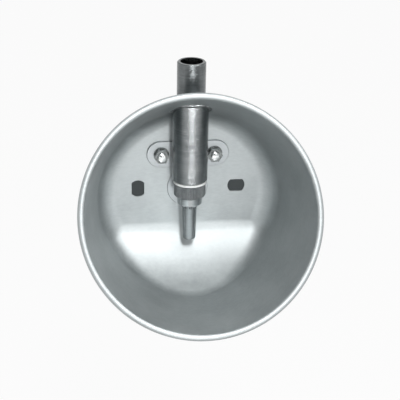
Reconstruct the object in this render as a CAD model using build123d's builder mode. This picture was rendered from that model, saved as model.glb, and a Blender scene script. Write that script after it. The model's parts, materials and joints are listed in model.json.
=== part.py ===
"""Wall-hung drinking bowl for livestock, with a push valve on a vertical pipe.

Millimetres, +Z up. The origin is on the back of the mounting flat, midway
between the two wall holes. The wall is at Y = 0 and the bowl opens towards -Y.
"""
import os
from math import asin, atan2, cos, degrees, radians, sin, sqrt

from build123d import *

os.makedirs("parts", exist_ok=True)

# ---------------------------------------------------------------- bowl pressing
sheet = 1.2                  # stainless sheet
flat_radius = 68.2           # circle in which the wall would meet the flat, before its bend
flat_drop = 8.0              # centre of that circle below the wall holes
crease_drop = 33.5           # bottom edge of the flat below the wall holes
sump_angle = 30.0            # slope of the sump just below that edge, from the vertical
sump_curve = 75.0            # radius of the sump's back, seen from the side
sump_turn = 38.0             # degrees that this curve turns before it runs straight
bowl_bend = 15.0             # inner bend round the flat and the sump
cutter_reach = 150.0         # well past the pressing
rim_tilt = 26.7              # the mouth faces forwards and up by this angle
rim_reach = 86.4             # centre of the mouth in front of the flat
rim_rise = 15.0              # centre of the mouth above the wall holes
rim_radius = 82.2            # inside the mouth
bead_radius = 2.5            # rolled edge, outer radius of the roll
bead_turn = 290.0            # how far the sheet is rolled round

# ------------------------------------------------------------------- wall holes
wall_hole_pitch = 76.4
wall_hole_diameter = 13.5    # across the round ends
wall_hole_flats = 9.8        # across the flats
rear_hole_diameter = 28.0    # for a pipe from behind, closed here by the blanking disc
blank_flange_diameter = 31.4
blank_flange_thickness = 0.8
blank_edge = 0.4             # chamfer round the blanking disc

# ------------------------------------------------------- bracket, studs and nuts
plate_length = 63.0
plate_height = 20.6
plate_thickness = 2.0
plate_rise = 28.2            # centre line of the bracket plate above the wall holes
plate_edge = 0.3
stud_inset = 11.15           # from each end of the plate
stud_diameter = 6.0          # M6
stud_length = 10.5
stud_tip = 0.8
stud_hole_diameter = 6.6
washer_diameter = 12.0
washer_thickness = 1.0
nut_flats = 10.0
nut_height = 4.6
weld_leg = 2.2

# ------------------------------------------------------------ socket and inlet pipe
socket_wall = 2.85           # round the screwed shank of the nipple
socket_bottom = 12.6         # height of its lower end above the wall holes
socket_length = 63.4
socket_bore = 18.6
socket_chamfer = 1.2
top_hole_clearance = 2.5     # round the socket, in the bowl's upper wall
top_hole_forward = 1.6       # its centre in front of the valve's axis, to clear the flat
pipe_diameter = 21.3         # half-inch pipe
pipe_bore = 16.6
pipe_length = 50.0
pipe_insertion = 20.0        # length of pipe inside the socket
pipe_thread_diameter = 20.2  # mean size of its thread, which is left plain
pipe_run_out = 0.5           # from the socket up to the pipe's full size
pipe_chamfer = 0.8
screwed_clearance = 0.05     # radial, between screwed pieces
pipe_seal_thickness = 1.0

# ----------------------------------------------------------------- nipple valve
body_waist_diameter = 20.2   # under the knurled collar and the nipple seal
body_shank_step = 0.3        # the screwed shank stands out from the waist
body_shank_length = 15.5     # inside the socket
neck_step = 0.7              # the neck is set in from the waist
neck_length = 6.6
neck_chamfer = 0.7
collar_wall = 1.9
collar_height = 11.0
collar_chamfer = 1.0
collar_knurls = 60
knurl_depth = 0.3
nipple_seal_thickness = 1.5
nipple_seal_inset = 0.6      # its edge inside the socket's
body_wall = 1.2              # between the chamber and the waist
shelf_width = 0.8            # from the chamber in to the neck's bore
seat_shelf_rise = 4.4        # shelf above the collar's lower edge
seat_thickness = 1.5
seat_overhang = 0.9          # the seat stands in past the shelf
retainer_drop = 1.5          # top of the spring retainer below the body's top
retainer_thickness = 2.5
retainer_hole = 3.0
retainer_hole_count = 6
retainer_hole_inset = 2.7    # hole centres, in from the chamber's wall
retainer_throat = 5.0

# ------------------------------------------------------------------ actuator pin
flange_clearance = 0.7       # from the chamber's wall, so that the flange can rock
flange_thickness = 2.0
pin_top_diameter = 11.9
pin_tip_diameter = 9.8
pin_reach = 30.0             # length of pin below the neck
pin_tip_round = 1.6
crown_diameter = 12.2        # fluted crown just below the neck
crown_height = 2.6
crown_gap = 0.4              # from the neck down to the crown
crown_flutes = 12
flute_diameter = 1.7

# ------------------------------------------------ follower, spring and strainer
follower_gap = 0.1           # above the pin's flange
follower_tip_diameter = 4.0
follower_slope = 0.25        # rise of its underside per millimetre of radius
follower_thickness = 1.6
follower_hub_diameter = 8.6
follower_hub_height = 3.0
follower_lobes = 4
follower_lobe_width = 4.6
follower_clearance = 0.15
spring_wire = 1.0
spring_diameter = 11.0       # at the middle of the wire
spring_turns = 4
seat_gap = 0.05              # left where a loose piece rests on another
reducer_thickness = 1.5
reducer_hole = 3.5
strainer_diameter = 15.0
strainer_height = 20.0
strainer_wall = 0.8
strainer_flange = 1.2
strainer_slots = 10
strainer_slot_width = 1.6
strainer_slot_ends = 3.0     # left solid above and below the slots
strainer_clearance = 0.15    # round the strainer's flange and the reducer

# ------------------------------------------------------------------ derived places
flat_y = -sheet                                  # front of the flat
stud_pitch = plate_length - 2 * stud_inset
body_shank_diameter = body_waist_diameter + 2 * body_shank_step
collar_diameter = body_waist_diameter + 2 * collar_wall
neck_diameter = body_waist_diameter - 2 * neck_step
chamber_bore = body_waist_diameter - 2 * body_wall
neck_bore = chamber_bore - 2 * shelf_width
seat_bore = neck_bore - 2 * seat_overhang
flange_diameter = chamber_bore - 2 * flange_clearance
retainer_hole_circle = chamber_bore - 2 * retainer_hole_inset
socket_diameter = body_shank_diameter + 2 * socket_wall
axis_y = flat_y - plate_thickness - socket_diameter / 2
socket_top = socket_bottom + socket_length
pipe_bottom = socket_top - pipe_insertion
pipe_top = pipe_bottom + pipe_length
collar_top = socket_bottom - nipple_seal_thickness
collar_bottom = collar_top - collar_height
neck_bottom = collar_bottom - neck_length
body_top = socket_bottom + body_shank_length
shelf_z = collar_bottom + seat_shelf_rise
flange_z = shelf_z + seat_thickness
flange_top = flange_z + flange_thickness
pin_bottom = neck_bottom - pin_reach
hinge_y = axis_y - flange_diameter / 2           # front edge of the flange on its seat
follower_z = flange_top + follower_gap
follower_radius = chamber_bore / 2 - follower_clearance
follower_rise = follower_slope * (follower_radius - follower_tip_diameter / 2)
follower_top = follower_z + follower_rise + follower_thickness
spring_low = follower_top + seat_gap
retainer_top = body_top - retainer_drop
retainer_z = retainer_top - retainer_thickness
spring_high = retainer_z - seat_gap
reducer_z = body_top + seat_gap
strainer_z = reducer_z + reducer_thickness
lower_counterbore_top = strainer_z + strainer_flange + seat_gap
thread_radius = body_shank_diameter / 2 + screwed_clearance
nipple_seal_radius = socket_diameter / 2 - nipple_seal_inset
pipe_shoulder = pipe_bottom - pipe_seal_thickness
pipe_thread_radius = pipe_thread_diameter / 2 + screwed_clearance
crown_bottom = neck_bottom - crown_gap - crown_height
loose_radius = thread_radius - strainer_clearance

rim_normal = Vector(0, -cos(radians(rim_tilt)), sin(radians(rim_tilt)))
rim_centre = Vector(0, flat_y - rim_reach, rim_rise)
rim_plane = Plane(origin=rim_centre, x_dir=(1, 0, 0), z_dir=rim_normal)
sump_normal = Vector(0, cos(radians(sump_angle)), -sin(radians(sump_angle)))


def finish(part, name):
    """Label a finished piece and write it as its own node."""
    part.label = name
    export_step(part, f"parts/{name}.step")
    print(f"{name:18s} {len(part.solids())} solid(s) {part.volume:10.1f} mm3")


def facing(y, height=0.0):
    """Upright plane that faces forwards, with its own Y axis up."""
    return Plane(origin=(0, y, height), x_dir=(1, 0, 0), z_dir=(0, -1, 0))


def level(height):
    """Horizontal plane centred on the valve's axis."""
    return Plane(origin=(0, axis_y, height))


def turned(*outline):
    """Turn a closed outline of (radius, height) points about the valve's axis."""
    with BuildPart() as piece:
        with BuildSketch(Plane(origin=(0, axis_y, 0), x_dir=(1, 0, 0), z_dir=(0, -1, 0))):
            with BuildLine():
                Polyline(*outline, close=True)
            make_face()
        revolve(axis=Axis((0, axis_y, 0), (0, 0, 1)))
    return piece.part


# ------------------------------------------------------------------ the pressing
def wall_slope(side):
    """Slope of the wall along the top (side = 1) or the bottom (side = -1)."""
    rise = rim_rise + flat_drop + side * (rim_radius * cos(radians(rim_tilt)) - flat_radius)
    reach = rim_reach - side * rim_radius * sin(radians(rim_tilt))
    return side * atan2(rise, reach)


def bowl_form(grow):
    """Solid that fills the bowl, grown outwards on every side but the mouth.

    The wall runs straight from a circle on the flat to the round mouth, which
    is tilted to it. A curve below the crease makes the back of the sump.
    """
    grow_top, grow_low = (grow * (1 - sin(wall_slope(side))) / cos(wall_slope(side))
                          for side in (1, -1))
    centre = (grow_top - grow_low) / 2 - flat_drop
    curve = sump_curve + grow
    curve_axis = Vector(0, flat_y, -crease_drop) - sump_normal * sump_curve
    run_out = sump_angle + sump_turn

    def on_curve(angle, past=0.0):
        """Where the curve slopes by angle, or a distance past that along its tangent."""
        slope = radians(angle)
        return (curve_axis.Y + curve * cos(slope) - past * sin(slope),
                curve_axis.Z - curve * sin(slope) - past * cos(slope))

    def lies_back(edge):
        points = [edge.position_at(t) for t in (0.1, 0.5, 0.9)]
        on_flat = all(abs(p.Y - flat_y - grow) < 0.01 for p in points)
        round_sump = edge.geom_type != GeomType.LINE and all(p.Z < -crease_drop for p in points)
        return on_flat or round_sump

    with BuildPart() as form:
        with BuildSketch(facing(flat_y + grow, centre)):
            Circle(flat_radius + (grow_top + grow_low) / 2)
        with BuildSketch(rim_plane):
            Circle(rim_radius + grow)
        loft(ruled=True)
        above = on_curve(sump_angle, -cutter_reach)
        below = on_curve(run_out, cutter_reach)
        with BuildSketch(Plane.YZ):
            with BuildLine():
                ThreePointArc(on_curve(sump_angle), on_curve(sump_angle + sump_turn / 2),
                              on_curve(run_out))
                Polyline(on_curve(run_out), below, (above[0], below[1]), above,
                         on_curve(sump_angle))
            make_face()
        extrude(amount=cutter_reach, both=True, mode=Mode.SUBTRACT)
        fillet(form.edges().filter_by(lies_back), bowl_bend + grow)
    return form.part


bowl_outside = bowl_form(sheet)
bowl_hollow = bowl_form(0)

with BuildPart() as rolled_edge:
    roll_plane = Plane(origin=rim_centre, x_dir=(1, 0, 0), z_dir=Vector(1, 0, 0).cross(rim_normal))
    roll_centre = rim_radius + bead_radius
    roll_reach = 2 * bead_radius
    roll_end = radians(180 - bead_turn)
    with BuildSketch(roll_plane):
        with Locations((roll_centre, 0)):
            Circle(bead_radius)
            Circle(bead_radius - sheet, mode=Mode.SUBTRACT)
        with BuildLine():
            Polyline((roll_centre, 0), (roll_centre - roll_reach, 0),
                     (roll_centre - roll_reach, -roll_reach),
                     (roll_centre + roll_reach * cos(roll_end), roll_reach * sin(roll_end)),
                     close=True)
        make_face(mode=Mode.SUBTRACT)
    revolve(axis=Axis(rim_centre, rim_normal))

with BuildPart() as bowl:
    add(bowl_outside)
    add(bowl_hollow, mode=Mode.SUBTRACT)
    add(rolled_edge.part)
    for side, upright in ((-1, True), (1, False)):
        across, up = (wall_hole_flats, 2 * wall_hole_diameter) if upright else (
            2 * wall_hole_diameter, wall_hole_flats)
        with BuildSketch(facing(0)) as wall_hole:
            with Locations((side * wall_hole_pitch / 2, 0)):
                Circle(wall_hole_diameter / 2)
                Rectangle(across, up, mode=Mode.INTERSECT)
        extrude(amount=2 * sheet, mode=Mode.SUBTRACT)
    with BuildSketch(facing(0)):
        Circle(rear_hole_diameter / 2)
    extrude(amount=2 * sheet, mode=Mode.SUBTRACT)
    with BuildSketch(level(plate_rise + plate_height / 2)):
        with Locations((0, -top_hole_forward)):
            Circle(socket_diameter / 2 + top_hole_clearance)
    extrude(amount=socket_length, mode=Mode.SUBTRACT)
finish(bowl.part, "bowl")

# ------------------------------------------------- what closes the rear inlet hole
with BuildPart() as blanking_disc:
    with BuildSketch(facing(flat_y)):
        Circle(blank_flange_diameter / 2)
    extrude(amount=blank_flange_thickness)
    chamfer(blanking_disc.edges().sort_by(Axis.Y)[0], blank_edge)
    with BuildSketch(facing(0)):
        Circle(rear_hole_diameter / 2 - screwed_clearance)
    extrude(amount=sheet)
finish(blanking_disc.part, "blanking_disc")

# --------------------------------------------------------- bracket and its fixings
plate_y = flat_y - plate_thickness
washer_y = plate_y - washer_thickness

with BuildPart() as bracket_plate:
    with BuildSketch(facing(flat_y, plate_rise)):
        SlotOverall(plate_length, plate_height)
        with GridLocations(stud_pitch, 0, 2, 1):
            Circle(stud_hole_diameter / 2, mode=Mode.SUBTRACT)
    extrude(amount=plate_thickness)
    chamfer(bracket_plate.faces().sort_by(Axis.Y)[0].outer_wire().edges(), plate_edge)
finish(bracket_plate.part, "bracket_plate")

with BuildPart() as bracket_welds:
    inner_edge = 0.2 * socket_diameter
    outer_edge = inner_edge + 1.6 * weld_leg
    with BuildSketch(level(plate_rise - plate_height / 2 + weld_leg / 2)):
        with BuildLine():
            Polyline((inner_edge, socket_diameter / 2), (outer_edge + weld_leg / 2, socket_diameter / 2),
                     (outer_edge, socket_diameter / 2 - 1.5 * weld_leg), (inner_edge, 0), close=True)
        make_face()
        mirror(about=Plane.YZ)
        Circle(socket_diameter / 2, mode=Mode.SUBTRACT)
    extrude(amount=plate_height - weld_leg)
finish(bracket_welds.part, "bracket_welds")

for side, place in ((-1, "left"), (1, "right")):
    stud_x = side * stud_pitch / 2

    with BuildPart() as stud:
        with BuildSketch(facing(flat_y, plate_rise)):
            with Locations((stud_x, 0)):
                Circle(stud_diameter / 2)
        extrude(amount=stud_length)
        chamfer(stud.edges().sort_by(Axis.Y)[0], stud_tip)
    finish(stud.part, f"stud_{place}")

    with BuildPart() as washer:
        with BuildSketch(facing(plate_y, plate_rise)):
            with Locations((stud_x, 0)):
                Circle(washer_diameter / 2)
                Circle(stud_hole_diameter / 2 - plate_edge / 2, mode=Mode.SUBTRACT)
        extrude(amount=washer_thickness)
    finish(washer.part, f"washer_{place}")

    with BuildPart() as nut:
        with BuildSketch(facing(washer_y, plate_rise)):
            with Locations((stud_x, 0)):
                RegularPolygon(nut_flats / 2, 6, major_radius=False)
                Circle(stud_diameter / 2 + screwed_clearance, mode=Mode.SUBTRACT)
        extrude(amount=nut_height)
        with BuildSketch(facing(washer_y, plate_rise)):
            with Locations((stud_x, 0)):
                Circle(nut_flats / 2 * 1.12)
        extrude(amount=nut_height, taper=-6, mode=Mode.INTERSECT)
    finish(nut.part, f"nut_{place}")

# ------------------------------------------------------------ socket and inlet pipe
with BuildPart() as valve_socket:
    add(turned(
        (thread_radius, socket_bottom),
        (socket_diameter / 2 - socket_chamfer, socket_bottom),
        (socket_diameter / 2, socket_bottom + socket_chamfer),
        (socket_diameter / 2, socket_top - socket_chamfer),
        (socket_diameter / 2 - socket_chamfer, socket_top),
        (pipe_thread_radius, socket_top),
        (pipe_thread_radius, pipe_shoulder),
        (socket_bore / 2, pipe_shoulder),
        (socket_bore / 2, lower_counterbore_top),
        (thread_radius, lower_counterbore_top)))
finish(valve_socket.part, "valve_socket")

with BuildPart() as inlet_pipe:
    add(turned(
        (pipe_bore / 2, pipe_bottom),
        (pipe_thread_diameter / 2, pipe_bottom),
        (pipe_thread_diameter / 2, socket_top + pipe_run_out),
        (pipe_diameter / 2, socket_top + pipe_run_out),
        (pipe_diameter / 2, pipe_top - pipe_chamfer),
        (pipe_diameter / 2 - pipe_chamfer, pipe_top),
        (pipe_bore / 2, pipe_top)))
finish(inlet_pipe.part, "inlet_pipe")

with BuildPart() as pipe_seal:
    add(turned(
        (socket_bore / 2, pipe_shoulder),
        (pipe_thread_diameter / 2, pipe_shoulder),
        (pipe_thread_diameter / 2, pipe_bottom),
        (socket_bore / 2, pipe_bottom)))
finish(pipe_seal.part, "pipe_seal")

# ------------------------------------------------------------------- nipple valve
with BuildPart() as nipple_body:
    add(turned(
        (neck_bore / 2, neck_bottom),
        (neck_diameter / 2 - neck_chamfer, neck_bottom),
        (neck_diameter / 2, neck_bottom + neck_chamfer),
        (neck_diameter / 2, collar_bottom),
        (body_waist_diameter / 2, collar_bottom),
        (body_waist_diameter / 2, socket_bottom),
        (body_shank_diameter / 2, socket_bottom),
        (body_shank_diameter / 2, body_top - neck_chamfer),
        (body_shank_diameter / 2 - neck_chamfer, body_top),
        (chamber_bore / 2, body_top),
        (chamber_bore / 2, shelf_z),
        (neck_bore / 2, shelf_z)))
finish(nipple_body.part, "nipple_body")

with BuildPart() as nipple_collar:
    add(turned(
        (body_waist_diameter / 2, collar_bottom),
        (collar_diameter / 2 - collar_chamfer, collar_bottom),
        (collar_diameter / 2, collar_bottom + collar_chamfer),
        (collar_diameter / 2, collar_top - collar_chamfer),
        (collar_diameter / 2 - collar_chamfer, collar_top),
        (body_waist_diameter / 2, collar_top)))
    with BuildSketch(level(collar_bottom)):
        with PolarLocations(collar_diameter / 2, collar_knurls):
            Rectangle(knurl_depth * sqrt(2), knurl_depth * sqrt(2), rotation=45)
    extrude(amount=collar_height, mode=Mode.SUBTRACT)
finish(nipple_collar.part, "nipple_collar")

with BuildPart() as nipple_seal:
    add(turned(
        (body_waist_diameter / 2 + screwed_clearance, collar_top),
        (nipple_seal_radius, collar_top),
        (nipple_seal_radius, socket_bottom),
        (body_waist_diameter / 2 + screwed_clearance, socket_bottom)))
finish(nipple_seal.part, "nipple_seal")

with BuildPart() as valve_seat:
    add(turned(
        (seat_bore / 2, shelf_z),
        (chamber_bore / 2 - screwed_clearance, shelf_z),
        (chamber_bore / 2 - screwed_clearance, flange_z),
        (seat_bore / 2, flange_z)))
finish(valve_seat.part, "valve_seat")

with BuildPart() as actuator_pin:
    add(turned(
        (0, pin_bottom),
        (pin_tip_diameter / 2, pin_bottom),
        (pin_top_diameter / 2, flange_z),
        (flange_diameter / 2, flange_z),
        (flange_diameter / 2, flange_top),
        (0, flange_top)))
    fillet(actuator_pin.edges().sort_by(Axis.Z)[0], pin_tip_round)
    with BuildSketch(level(crown_bottom)):
        Circle(crown_diameter / 2)
    extrude(amount=crown_height)
    with BuildSketch(level(crown_bottom)):
        with PolarLocations(crown_diameter / 2, crown_flutes):
            Circle(flute_diameter / 2)
    extrude(amount=crown_height, mode=Mode.SUBTRACT)
finish(actuator_pin.part, "actuator_pin")

with BuildPart() as spring_follower:
    add(turned(
        (0, follower_z),
        (follower_tip_diameter / 2, follower_z),
        (follower_radius, follower_z + follower_rise),
        (follower_radius, follower_top),
        (follower_hub_diameter / 2, follower_top),
        (follower_hub_diameter / 2, follower_top + follower_hub_height),
        (0, follower_top + follower_hub_height)))
    with BuildSketch(level(follower_z)):
        Circle(follower_hub_diameter / 2)
        with PolarLocations(follower_radius / 2, follower_lobes):
            Rectangle(follower_radius + follower_clearance, follower_lobe_width)
    extrude(amount=follower_rise + follower_thickness + follower_hub_height, mode=Mode.INTERSECT)
finish(spring_follower.part, "spring_follower")

with BuildPart() as return_spring:
    coil_start = Plane(origin=(spring_diameter / 2, axis_y, spring_low + spring_wire / 4),
                       x_dir=(1, 0, 0), z_dir=(0, 1, 0))
    with BuildLine():
        coil_length = spring_high - spring_low - spring_wire / 2
        Helix(coil_length / spring_turns, coil_length, spring_diameter / 2,
              center=(0, axis_y, spring_low + spring_wire / 4))
    with BuildSketch(coil_start):
        Circle(spring_wire / 2)
    sweep(is_frenet=True)
    with BuildSketch(level(spring_low)):
        Circle(spring_diameter)
    extrude(amount=spring_high - spring_low, mode=Mode.INTERSECT)
finish(return_spring.part, "return_spring")

with BuildPart() as spring_retainer:
    with BuildSketch(level(retainer_z)):
        Circle(chamber_bore / 2 - screwed_clearance)
        Circle(retainer_throat / 2, mode=Mode.SUBTRACT)
        with PolarLocations(retainer_hole_circle / 2, retainer_hole_count):
            Circle(retainer_hole / 2, mode=Mode.SUBTRACT)
    extrude(amount=retainer_thickness)
finish(spring_retainer.part, "spring_retainer")

# ------------------------------------------------------------ reducer and strainer
with BuildPart() as flow_reducer:
    with BuildSketch(level(reducer_z)):
        Circle(loose_radius)
        Circle(reducer_hole / 2, mode=Mode.SUBTRACT)
    extrude(amount=reducer_thickness)
finish(flow_reducer.part, "flow_reducer")

with BuildPart() as strainer:
    add(turned(
        (strainer_diameter / 2 - strainer_wall, strainer_z),
        (loose_radius, strainer_z),
        (loose_radius, strainer_z + strainer_flange),
        (strainer_diameter / 2, strainer_z + strainer_flange),
        (strainer_diameter / 2, strainer_z + strainer_height),
        (0, strainer_z + strainer_height),
        (0, strainer_z + strainer_height - strainer_wall),
        (strainer_diameter / 2 - strainer_wall, strainer_z + strainer_height - strainer_wall)))
    with BuildSketch(level(strainer_z + strainer_flange + strainer_slot_ends)):
        with PolarLocations(strainer_diameter / 2, strainer_slots):
            Rectangle(4 * strainer_wall, strainer_slot_width)
    extrude(amount=strainer_height - strainer_flange - 2 * strainer_slot_ends,
            mode=Mode.SUBTRACT)
finish(strainer.part, "strainer")
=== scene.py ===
"""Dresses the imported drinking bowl: steel finishes, screwed studs, a wire spring, studio light."""
import json
import math

import bpy
from mathutils import Matrix, Vector


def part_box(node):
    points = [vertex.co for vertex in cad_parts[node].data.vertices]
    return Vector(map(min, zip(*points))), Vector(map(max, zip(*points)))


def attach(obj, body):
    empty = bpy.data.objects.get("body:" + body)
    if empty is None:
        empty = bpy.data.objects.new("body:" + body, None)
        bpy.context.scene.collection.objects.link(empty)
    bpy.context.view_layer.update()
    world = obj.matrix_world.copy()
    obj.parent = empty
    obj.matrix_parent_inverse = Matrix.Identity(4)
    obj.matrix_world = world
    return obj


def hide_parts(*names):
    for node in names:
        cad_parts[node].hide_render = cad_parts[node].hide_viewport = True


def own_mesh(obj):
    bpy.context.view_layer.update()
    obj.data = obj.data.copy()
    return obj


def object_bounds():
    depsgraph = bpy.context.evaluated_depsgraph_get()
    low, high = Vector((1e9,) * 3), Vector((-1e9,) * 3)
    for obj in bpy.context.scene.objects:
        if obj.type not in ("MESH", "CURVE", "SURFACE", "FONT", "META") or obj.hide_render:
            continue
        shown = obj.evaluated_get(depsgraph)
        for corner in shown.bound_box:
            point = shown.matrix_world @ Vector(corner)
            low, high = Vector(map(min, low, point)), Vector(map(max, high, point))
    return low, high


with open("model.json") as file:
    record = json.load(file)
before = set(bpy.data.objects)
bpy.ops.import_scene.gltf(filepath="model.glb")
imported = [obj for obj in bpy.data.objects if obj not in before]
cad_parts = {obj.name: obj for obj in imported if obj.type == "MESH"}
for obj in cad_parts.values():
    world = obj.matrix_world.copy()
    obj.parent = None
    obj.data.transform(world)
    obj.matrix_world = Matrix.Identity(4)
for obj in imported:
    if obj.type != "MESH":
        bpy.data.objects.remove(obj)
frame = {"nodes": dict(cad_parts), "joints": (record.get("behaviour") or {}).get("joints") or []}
cad_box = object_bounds()
nodes = frame["nodes"]
MM = 0.001

# ------------------------------------------------------------------ camera
FOCAL_SHARE = 1152.2 / 400          # focal length over the frame's width
CAMERA_DISTANCE = 0.898
CAMERA_YAW = math.radians(7.9)      # to the bowl's left
CAMERA_RISE = math.radians(24.33)
CAMERA_ROLL = math.radians(1.14)
CAMERA_AIM = Vector((0.0102, -0.0012, -0.01173))
NEAREST_SEEN, FARTHEST_SEEN = 0.01, 20


def place_camera():
    """Camera on a sphere round the aim point, rolled a little about its own axis."""
    yaw, rise, roll = CAMERA_YAW, CAMERA_RISE, CAMERA_ROLL
    back = Vector((-math.sin(yaw) * math.cos(rise), -math.cos(yaw) * math.cos(rise),
                   math.sin(rise)))
    right = Vector((math.cos(yaw), -math.sin(yaw), 0))
    up = back.cross(right)
    across = right * math.cos(roll) + up * math.sin(roll)
    upward = up * math.cos(roll) - right * math.sin(roll)
    data = bpy.data.cameras.new("camera")
    data.sensor_fit = "HORIZONTAL"
    data.lens = data.sensor_width * FOCAL_SHARE
    data.clip_start, data.clip_end = NEAREST_SEEN, FARTHEST_SEEN
    camera = bpy.data.objects.new("camera", data)
    bpy.context.scene.collection.objects.link(camera)
    turn = Matrix((across, upward, back)).transposed().to_4x4()
    camera.matrix_world = Matrix.Translation(CAMERA_AIM + CAMERA_DISTANCE * back) @ turn
    bpy.context.scene.camera = camera


place_camera()


# ------------------------------------------------------------------ shader maths
class Socket:
    """A shader socket that adds Math nodes when it is used in an expression."""

    def __init__(self, tree, out):
        self.tree, self.out = tree, out

    def _math(self, operation, *values, clamp=False):
        node = self.tree.nodes.new("ShaderNodeMath")
        node.operation, node.use_clamp = operation, clamp
        for slot, value in zip(node.inputs, values):
            plug(self.tree, slot, value)
        return Socket(self.tree, node.outputs[0])

    def __add__(self, other):
        return self._math("ADD", self, other)

    def __mul__(self, other):
        return self._math("MULTIPLY", self, other)

    __radd__, __rmul__ = __add__, __mul__

    def clamp(self):
        return self._math("ADD", self, 0.0, clamp=True)

    def above(self, low, high):
        """0 below low, 1 above high, smooth between."""
        node = self.tree.nodes.new("ShaderNodeMapRange")
        node.interpolation_type = "SMOOTHSTEP"
        plug(self.tree, node.inputs["Value"], self)
        node.inputs["From Min"].default_value = low
        node.inputs["From Max"].default_value = high
        return Socket(self.tree, node.outputs["Result"])


def plug(tree, slot, value):
    """Links a socket into a node's slot, or sets a plain value there."""
    if isinstance(value, Socket):
        tree.links.new(value.out, slot)
    else:
        slot.default_value = value


def mix_shaders(tree, factor, first, second):
    """Mix Shader between two shaders: the first at 0, the second at 1."""
    made = tree.nodes.new("ShaderNodeMixShader")
    for slot, value in zip(made.inputs, (factor, first, second)):
        plug(tree, slot, value)
    return Socket(tree, made.outputs[0])


def seen_directly(tree):
    """1 for what the camera sees straight, in a mirror or through glass, and 0 for stray light."""
    paths = tree.nodes.new("ShaderNodeLightPath").outputs
    seen = (Socket(tree, paths["Is Camera Ray"]) + Socket(tree, paths["Is Glossy Ray"])
            + Socket(tree, paths["Is Transmission Ray"]))
    return seen.clamp()


class Finish:
    """One procedural material. Patterns are laid out in Object coordinates, in metres."""

    def __init__(self, name):
        self.material = bpy.data.materials.new(name)
        self.material.use_nodes = True
        self.tree = self.material.node_tree
        self.shader = self.tree.nodes["Principled BSDF"]
        self.place = self.node("ShaderNodeTexCoord")["Object"]

    def node(self, kind, settings=None, **values):
        """Adds a node: its settings first, then the values or links of its sockets."""
        made = self.tree.nodes.new(kind)
        for key, value in (settings or {}).items():
            setattr(made, key, value)
        for key, value in values.items():
            plug(self.tree, made.inputs[key.replace("_", " ")], value)
        return {out.name: Socket(self.tree, out) for out in made.outputs if out.enabled}

    def feed(self, name, value):
        plug(self.tree, self.shader.inputs[name], value)

    def vector_maths(self, operation, vector, by):
        made = self.tree.nodes.new("ShaderNodeVectorMath")
        made.operation = operation
        plug(self.tree, made.inputs[0], vector)
        made.inputs[1].default_value = by
        return Socket(self.tree, made.outputs[0])

    def mapped(self, scale=(1, 1, 1), centre=(0, 0, 0), turn=(0, 0, 0)):
        """Object coordinates moved to a centre, turned about it and then stretched."""
        moved = self.vector_maths("SUBTRACT", self.place, centre)
        turned = self.node("ShaderNodeMapping", {"vector_type": "POINT"},
                           Vector=moved, Rotation=turn)["Vector"]
        return self.vector_maths("MULTIPLY", turned, scale)

    def noise(self, vector, scale, detail=2.0, rough=0.5):
        return self.node("ShaderNodeTexNoise", {"noise_dimensions": "3D"}, Vector=vector,
                         Scale=scale, Detail=detail, Roughness=rough)["Fac"]

    def mix(self, factor, low, high):
        """A colour between two colours."""
        made = self.tree.nodes.new("ShaderNodeMix")
        made.data_type = "RGBA"
        plug(self.tree, made.inputs[0], factor)
        made.inputs[6].default_value = (*low, 1)
        made.inputs[7].default_value = (*high, 1)
        return Socket(self.tree, made.outputs[2])

    def bump(self, height, distance):
        return self.node("ShaderNodeBump", Height=height, Distance=distance,
                         Strength=1.0)["Normal"]

    def show(self, shader):
        """Puts a shader on the surface in place of the plain one."""
        plug(self.tree, self.tree.nodes["Material Output"].inputs[0], shader)


# ------------------------------------------------------------------ finishes
PATCH_SHARE = 0.5                   # of the tone; the drawn lines give the rest
STEEL_TONE_EDGES = (0.25, 0.75)     # where the pattern reaches the dark and the light tone
STEEL_GLOSS_EDGES = (0.2, 0.8)
GRAIN_EDGES = (0.3, 0.7)
GRAIN_DEPTH = 0.03 * MM

AXIS = Vector(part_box("actuator_pin")[0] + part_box("actuator_pin")[1]) / 2
AXIS.z = 0                          # the valve's upright axis, where it passes Z = 0
MOUTH = (0, -0.0876, 0.015)         # centre of the bowl's mouth
MOUTH_TILT = math.radians(26.7)


def steel(name, dark, light, rough, scratch, centre=(0, 0, 0), turn=(0, 0, 0),
          depth=0.02 * MM, patch=60.0):
    """Stainless steel: soft patches of tone, fine drawn lines along one way, uneven gloss."""
    f = Finish(name)
    smooth, dull = rough
    patches = f.noise(f.mapped(), patch, 3.0, 0.6)
    lines = f.noise(f.mapped(scratch, centre, turn), 1.0, 4.0, 0.65)
    tone = (patches * PATCH_SHARE + lines * (1 - PATCH_SHARE)).clamp()
    f.feed("Metallic", 1.0)
    f.feed("Base Color", f.mix(tone.above(*STEEL_TONE_EDGES), dark, light))
    f.feed("Roughness", tone.above(*STEEL_GLOSS_EDGES) * (dull - smooth) + smooth)
    f.feed("Normal", f.bump(lines, depth))
    return f.material


bowl_finish = steel(
    "satin_pressing", (0.34, 0.365, 0.37), (0.44, 0.465, 0.47), (0.50, 0.60),
    scratch=(260, 260, 900), centre=MOUTH, turn=(-MOUTH_TILT, 0, 0), depth=0.01 * MM, patch=45)
socket_finish = steel(
    "turned_socket", (0.17, 0.182, 0.186), (0.40, 0.415, 0.42), (0.16, 0.23),
    scratch=(24, 24, 3600), centre=AXIS, depth=0.14 * MM)
pipe_finish = steel(
    "turned_pipe", (0.07, 0.077, 0.079), (0.21, 0.223, 0.227), (0.14, 0.22),
    scratch=(24, 24, 3600), centre=AXIS, depth=0.14 * MM)
nipple_finish = steel(
    "bright_nipple", (0.36, 0.38, 0.385), (0.54, 0.56, 0.565), (0.12, 0.20),
    scratch=(60, 60, 6000), centre=AXIS, depth=0.01 * MM)
collar_finish = steel(
    "blasted_collar", (0.14, 0.15, 0.155), (0.25, 0.265, 0.27), (0.42, 0.60),
    scratch=(900, 900, 900), centre=AXIS, depth=0.06 * MM, patch=300)
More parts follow.
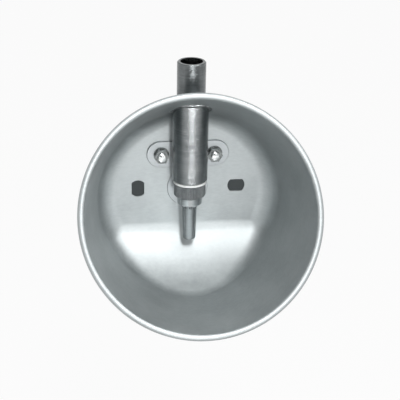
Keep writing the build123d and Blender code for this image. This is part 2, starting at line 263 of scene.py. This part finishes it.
pin_finish = steel(
    "polished_pin", (0.17, 0.18, 0.185), (0.30, 0.315, 0.32), (0.07, 0.13),
    scratch=(80, 80, 5000), centre=AXIS, depth=0.008 * MM)
bracket_finish = steel(
    "bracket_sheet", (0.31, 0.33, 0.34), (0.40, 0.42, 0.43), (0.44, 0.54),
    scratch=(40, 300, 2200), depth=0.01 * MM)
fixing_finish = steel(
    "fixing_steel", (0.12, 0.13, 0.13), (0.22, 0.235, 0.235), (0.20, 0.30),
    scratch=(300, 300, 300), depth=0.004 * MM, patch=200)
stud_finish = steel(
    "stud_steel", (0.48, 0.50, 0.50), (0.62, 0.64, 0.64), (0.24, 0.34),
    scratch=(300, 300, 300), depth=0.004 * MM, patch=200)
weld_finish = steel(
    "weld_metal", (0.24, 0.25, 0.25), (0.52, 0.54, 0.54), (0.30, 0.50),
    scratch=(900, 900, 900), depth=0.05 * MM, patch=500)
inner_finish = steel(
    "inner_steel", (0.50, 0.52, 0.53), (0.66, 0.68, 0.69), (0.20, 0.34),
    scratch=(60, 60, 3000), centre=AXIS, depth=0.01 * MM)


def moulded(name, dark, light, rough, grain):
    """Rubber or plastic: a fine moulded grain and slight unevenness of tone."""
    f = Finish(name)
    smooth, dull = rough
    grains = f.noise(f.mapped(), grain, 3.0, 0.6)
    f.feed("Base Color", f.mix(grains.above(*GRAIN_EDGES), dark, light))
    f.feed("Roughness", grains * (dull - smooth) + smooth)
    f.feed("Normal", f.bump(grains, GRAIN_DEPTH))
    return f.material


rubber_finish = moulded(
    "black_rubber", (0.012, 0.012, 0.013), (0.03, 0.03, 0.032), (0.5, 0.75), grain=900)
nylon_finish = moulded(
    "white_nylon", (0.74, 0.76, 0.75), (0.86, 0.87, 0.86), (0.3, 0.42), grain=600)
plastic_finish = moulded(
    "inner_plastic", (0.70, 0.70, 0.67), (0.82, 0.82, 0.79), (0.35, 0.5), grain=700)

FINISHES = {
    "bowl": bowl_finish, "blanking_disc": bracket_finish, "bracket_plate": bracket_finish,
    "bracket_welds": weld_finish, "stud_left": stud_finish, "stud_right": stud_finish,
    "washer_left": fixing_finish, "washer_right": fixing_finish, "nut_left": fixing_finish,
    "nut_right": fixing_finish, "valve_socket": socket_finish, "inlet_pipe": pipe_finish,
    "pipe_seal": rubber_finish, "nipple_body": nipple_finish, "nipple_collar": collar_finish,
    "nipple_seal": nylon_finish, "valve_seat": rubber_finish, "actuator_pin": pin_finish,
    "spring_follower": plastic_finish, "return_spring": inner_finish,
    "spring_retainer": nipple_finish, "flow_reducer": plastic_finish, "strainer": inner_finish,
}
for name, finish in FINISHES.items():
    for slot in nodes[name].material_slots:
        slot.material = finish


# ------------------------------------------------------------------ modelling tools
SAME_PLACE = 0.01 * MM


def select_only(piece):
    bpy.ops.object.select_all(action="DESELECT")
    piece.select_set(True)
    bpy.context.view_layer.objects.active = piece


def select_points(piece, wanted):
    """In edit mode, selects just the vertices whose place passes the test."""
    bpy.ops.mesh.select_mode(type="VERT")
    bpy.ops.mesh.select_all(action="DESELECT")
    bpy.ops.object.mode_set(mode="OBJECT")
    for vertex in piece.data.vertices:
        vertex.select = wanted(vertex.co)
    bpy.ops.object.mode_set(mode="EDIT")


def near(value, place):
    return abs(value - place) < SAME_PLACE


def screw_round(piece, name, axis, steps, climb, turns):
    """Carries the piece's outline round an axis as a helix."""
    screw = piece.modifiers.new(name, "SCREW")
    screw.axis, screw.angle = axis, math.tau
    screw.steps = screw.render_steps = steps
    screw.screw_offset, screw.iterations = climb, turns
    return screw


def cut_off(place, outward):
    """Cuts the piece with a plane, drops what lies beyond and closes the cut."""
    bpy.ops.mesh.select_all(action="SELECT")
    bpy.ops.mesh.bisect(plane_co=place, plane_no=outward, use_fill=True, clear_outer=True)


def face_outwards():
    bpy.ops.mesh.select_all(action="SELECT")
    bpy.ops.mesh.normals_make_consistent(inside=False)


# ------------------------------------------------------------------ threaded studs
THREAD_PITCH = 1.0 * MM
THREAD_DEPTH = 0.55 * MM
THREAD_STEPS = 36                   # round one turn
CREST_SPREAD = 0.13 * MM            # widens the groove from a quarter of the pitch
SPARE_TURNS = 2                     # cut off again at the stud's ends
DOUBLES_WITHIN = 0.001 * MM
STUD_END_SHARE = 0.8                # the end's size after its lead-in
STUD_SMOOTH_ANGLE = math.radians(25)


def groove_profile(radius):
    """One pitch of the thread's outline: an edge on the crest with its middle drawn in."""
    bpy.ops.object.select_all(action="DESELECT")
    half = THREAD_PITCH / 2
    bpy.ops.mesh.primitive_plane_add(size=THREAD_PITCH, location=(radius - half, 0, 0))
    bpy.ops.object.transform_apply(location=True)
    piece = bpy.context.object
    bpy.ops.object.mode_set(mode="EDIT")
    select_points(piece, lambda co: co.x < radius - half)
    bpy.ops.mesh.delete(type="VERT")
    bpy.ops.mesh.select_all(action="SELECT")
    bpy.ops.mesh.subdivide(number_cuts=3)
    for side in (-1, 1):
        select_points(piece, lambda co: near(co.y, side * half / 2))
        bpy.ops.transform.translate(value=(0, side * CREST_SPREAD, 0))
    select_points(piece, lambda co: near(co.y, 0))
    bpy.ops.transform.translate(value=(-THREAD_DEPTH, 0, 0))
    bpy.ops.object.mode_set(mode="OBJECT")
    return piece


def threaded_stud(name, radius, back, front):
    """A screwed stud along Y, its groove carried round as a helix, its end drawn in a little."""
    stud = groove_profile(radius)
    stud.name = name
    turns = math.ceil((back - front) / THREAD_PITCH) + SPARE_TURNS
    screw = screw_round(stud, "thread", "Y", THREAD_STEPS, THREAD_PITCH, turns)
    screw.use_merge_vertices, screw.use_smooth_shade = False, False
    select_only(stud)
    bpy.ops.object.modifier_apply(modifier="thread")
    bpy.ops.object.mode_set(mode="EDIT")
    bpy.ops.mesh.select_all(action="SELECT")
    bpy.ops.mesh.remove_doubles(threshold=DOUBLES_WITHIN)
    bpy.ops.transform.translate(value=(0, front - THREAD_PITCH, 0))
    cut_off((0, back, 0), (0, 1, 0))
    cut_off((0, front, 0), (0, -1, 0))
    select_points(stud, lambda co: near(co.y, front))
    bpy.ops.transform.resize(value=(STUD_END_SHARE, 1, STUD_END_SHARE),
                             center_override=(0, front, 0))
    face_outwards()
    bpy.ops.object.mode_set(mode="OBJECT")
    bpy.ops.object.shade_smooth_by_angle(angle=STUD_SMOOTH_ANGLE)
    stud.data.materials.append(stud_finish)
    return stud


def fit_stud(stud, side):
    """Moves the finished stud on to its place and puts it in for the plain one."""
    low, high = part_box(f"stud_{side}")
    select_only(stud)
    bpy.ops.transform.translate(value=((low.x + high.x) / 2, 0, (low.z + high.z) / 2))
    bpy.ops.object.transform_apply(location=True)
    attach(stud, "bowl_body")
    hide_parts(f"stud_{side}")


stud_low, stud_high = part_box("stud_left")
left_stud = threaded_stud("threaded_stud_left", (stud_high.x - stud_low.x) / 2,
                          stud_high.y, stud_low.y)
select_only(left_stud)
bpy.ops.object.duplicate()
right_stud = bpy.context.object
right_stud.name = "threaded_stud_right"
fit_stud(left_stud, "left")
fit_stud(right_stud, "right")


# ------------------------------------------------------------------ return spring
SPRING_WIRE = 1.0 * MM
SPRING_TURNS = 4
SPRING_STEPS = 48                   # round one turn
WIRE_SIDES = 14
SPRING_SMOOTH_ANGLE = math.radians(35)


def coil_spring(name, low, high):
    """Round wire carried round its turns, with both ends ground flat."""
    radius = (high.x - low.x) / 2 - SPRING_WIRE / 2
    climb = high.z - low.z - SPRING_WIRE / 2
    bpy.ops.object.select_all(action="DESELECT")
    bpy.ops.mesh.primitive_circle_add(vertices=WIRE_SIDES, radius=SPRING_WIRE / 2,
                                      fill_type="NOTHING", location=(radius, 0, 0),
                                      rotation=(math.radians(90), 0, 0))
    bpy.ops.object.transform_apply(location=True, rotation=True)
    spring = bpy.context.object
    spring.name = name
    screw_round(spring, "coil", "Z", SPRING_STEPS, climb / SPRING_TURNS, SPRING_TURNS)
    bpy.ops.object.modifier_apply(modifier="coil")
    bpy.ops.object.mode_set(mode="EDIT")
    bpy.ops.mesh.select_all(action="SELECT")
    bpy.ops.transform.translate(value=(0, AXIS.y, low.z + SPRING_WIRE / 4))
    bpy.ops.mesh.fill_holes(sides=0)
    cut_off((0, 0, low.z), (0, 0, -1))
    cut_off((0, 0, high.z), (0, 0, 1))
    face_outwards()
    bpy.ops.object.mode_set(mode="OBJECT")
    bpy.ops.object.shade_smooth_by_angle(angle=SPRING_SMOOTH_ANGLE)
    spring.data.materials.append(inner_finish)
    return spring


spring_low, spring_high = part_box("return_spring")
spring = coil_spring("ground_return_spring", spring_low, spring_high)
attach(spring, "bowl_body")
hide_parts("return_spring")
lift = next(joint for joint in frame["joints"] if joint["name"] == "follower_lift")
spring_height = spring_high.z - spring_low.z
1 - lift["range_m"][1] / spring_height
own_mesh(spring)


# ------------------------------------------------------------------ floor and painted-shade cards
FLOOR_WIDTH = 12
FLOOR_HEIGHT = cad_box[0][2] - 0.40
FLOOR_GLOW = 0.95                   # share of plain white; the rest takes the shadow
SHADE_CARD_SIDES = 64
WALL_SHADE_CARD_RADIUS = 0.053
WALL_SHADE_CARD_PLACE = (0, 0.0025, 0.0122)       # painted shade behind the flat's two holes
TOP_SHADE_CARD_RADIUS = 0.0163
TOP_SHADE_CARD_PLACE = (0, -0.01805, 0.0689)      # painted shade over the hole in the upper wall


def pale_floor():
    """Pale floor: near white when seen or mirrored, with the object's soft shadow left in it."""
    f = Finish("pale_floor")
    grain = f.noise(f.mapped(), 30.0)
    f.feed("Base Color", f.mix(grain, (0.74, 0.75, 0.75), (0.80, 0.81, 0.81)))
    f.feed("Roughness", 0.9)
    glow = f.node("ShaderNodeEmission", Color=(1, 1, 1, 1), Strength=1.0)["Emission"]
    lit = Socket(f.tree, f.shader.outputs[0])
    f.show(mix_shaders(f.tree, seen_directly(f.tree) * FLOOR_GLOW, lit, glow))
    return f.material


def painted_shade_card():
    """Painted shade: a dark grey glow from the front, nothing from behind, standing in for the shade
    that the bowl's holes look through to.
    """
    f = Finish("painted_shade_card")
    grain = f.noise(f.mapped(), 200.0)
    # the painted shade's dark grey, given off as a glow by a card that is no lamp
    tone = f.mix(grain, (0.060, 0.068, 0.070), (0.070, 0.078, 0.080))
    glow = f.node("ShaderNodeEmission", Color=tone, Strength=1.0)["Emission"]
    clear = f.node("ShaderNodeBsdfTransparent")["BSDF"]
    back = f.node("ShaderNodeNewGeometry")["Backfacing"]
    f.show(mix_shaders(f.tree, back, glow, clear))
    return f.material


def lay_floor(material):
    bpy.ops.object.select_all(action="DESELECT")
    bpy.ops.mesh.primitive_plane_add(size=FLOOR_WIDTH, location=(0, 0, FLOOR_HEIGHT))
    floor = bpy.context.object
    floor.name = "floor"
    floor.data.materials.append(material)


def shade_card_behind(name, radius, place, turn, material):
    """A round card of painted shade that a hole looks through to, seen from the bowl's inside only;
    it casts no shadow.
    """
    bpy.ops.object.select_all(action="DESELECT")
    bpy.ops.mesh.primitive_circle_add(vertices=SHADE_CARD_SIDES, radius=radius, fill_type="NGON",
                                      location=place, rotation=(math.radians(turn), 0, 0))
    card = bpy.context.object
    card.name = name
    card.data.materials.append(material)
    card.visible_shadow = False


lay_floor(pale_floor())
# painted shade: dark glowing cards behind the flat's two holes and the hole in the upper wall
painted_shade_finish = painted_shade_card()
shade_card_behind("wall_painted_shade_card", WALL_SHADE_CARD_RADIUS, WALL_SHADE_CARD_PLACE, 90, painted_shade_finish)
shade_card_behind("top_painted_shade_card", TOP_SHADE_CARD_RADIUS, TOP_SHADE_CARD_PLACE, 150.3, painted_shade_finish)


# ------------------------------------------------------------------ lamps
LAMP_DISTANCE = 1.5
LAMP_AIM = Vector((0, -0.02, 0))


def soft_box(name, azimuth, rise, size, power):
    """A lamp aimed at the bowl: azimuth 0 is in front, positive to the right, in degrees."""
    data = bpy.data.lights.new(name, "AREA")
    data.shape = "RECTANGLE"
    data.size, data.size_y = size
    data.energy = power
    lamp = bpy.data.objects.new(name, data)
    bpy.context.scene.collection.objects.link(lamp)
    a, r = math.radians(azimuth), math.radians(rise)
    place = LAMP_DISTANCE * Vector((math.sin(a) * math.cos(r), -math.cos(a) * math.cos(r),
                                    math.sin(r)))
    lamp.location = place
    lamp.rotation_euler = (LAMP_AIM - place).to_track_quat("-Z", "Y").to_euler()


soft_box("key_box", 4, 45, (0.2, 0.36), 14.5)
soft_box("low_front_box", 4, -2, (0.2, 0.4), 7.5)
soft_box("right_high_box", 50, 50, (0.3, 0.3), 6)
soft_box("high_box", 10, 75, (0.5, 0.5), 4)


# ------------------------------------------------------------------ studio air
AIR_TONES = ((0.0, 0.02), (0.42, 0.02), (0.6, 0.03), (1.0, 0.06))   # height share, brightness
AIR_TINT = (1.0, 1.02, 1.03)


def studio_air():
    """White where it is seen or mirrored; a dim studio, lighter overhead, to everything else."""
    world = bpy.data.worlds.new("studio")
    bpy.context.scene.world = world
    world.use_nodes = True
    air = world.node_tree
    way = air.nodes.new("ShaderNodeTexCoord")
    split = air.nodes.new("ShaderNodeSeparateXYZ")
    air.links.new(way.outputs["Generated"], split.inputs[0])
    ramp = air.nodes.new("ShaderNodeValToRGB")
    while len(ramp.color_ramp.elements) < len(AIR_TONES):
        ramp.color_ramp.elements.new(0.5)
    for element, (place, tone) in zip(ramp.color_ramp.elements, AIR_TONES):
        element.position = place
        element.color = (*(tone * tint for tint in AIR_TINT), 1)
    height = Socket(air, split.outputs["Z"]) * 0.5 + 0.5
    plug(air, ramp.inputs[0], height)
    dim = air.nodes["Background"]
    air.links.new(ramp.outputs["Color"], dim.inputs["Color"])
    white = air.nodes.new("ShaderNodeBackground")
    white.inputs["Color"].default_value = (1, 1, 1, 1)
    choose = mix_shaders(air, seen_directly(air), Socket(air, dim.outputs[0]),
                         Socket(air, white.outputs[0]))
    plug(air, air.nodes["World Output"].inputs[0], choose)


studio_air()
bpy.context.scene.view_settings.view_transform = "Standard"
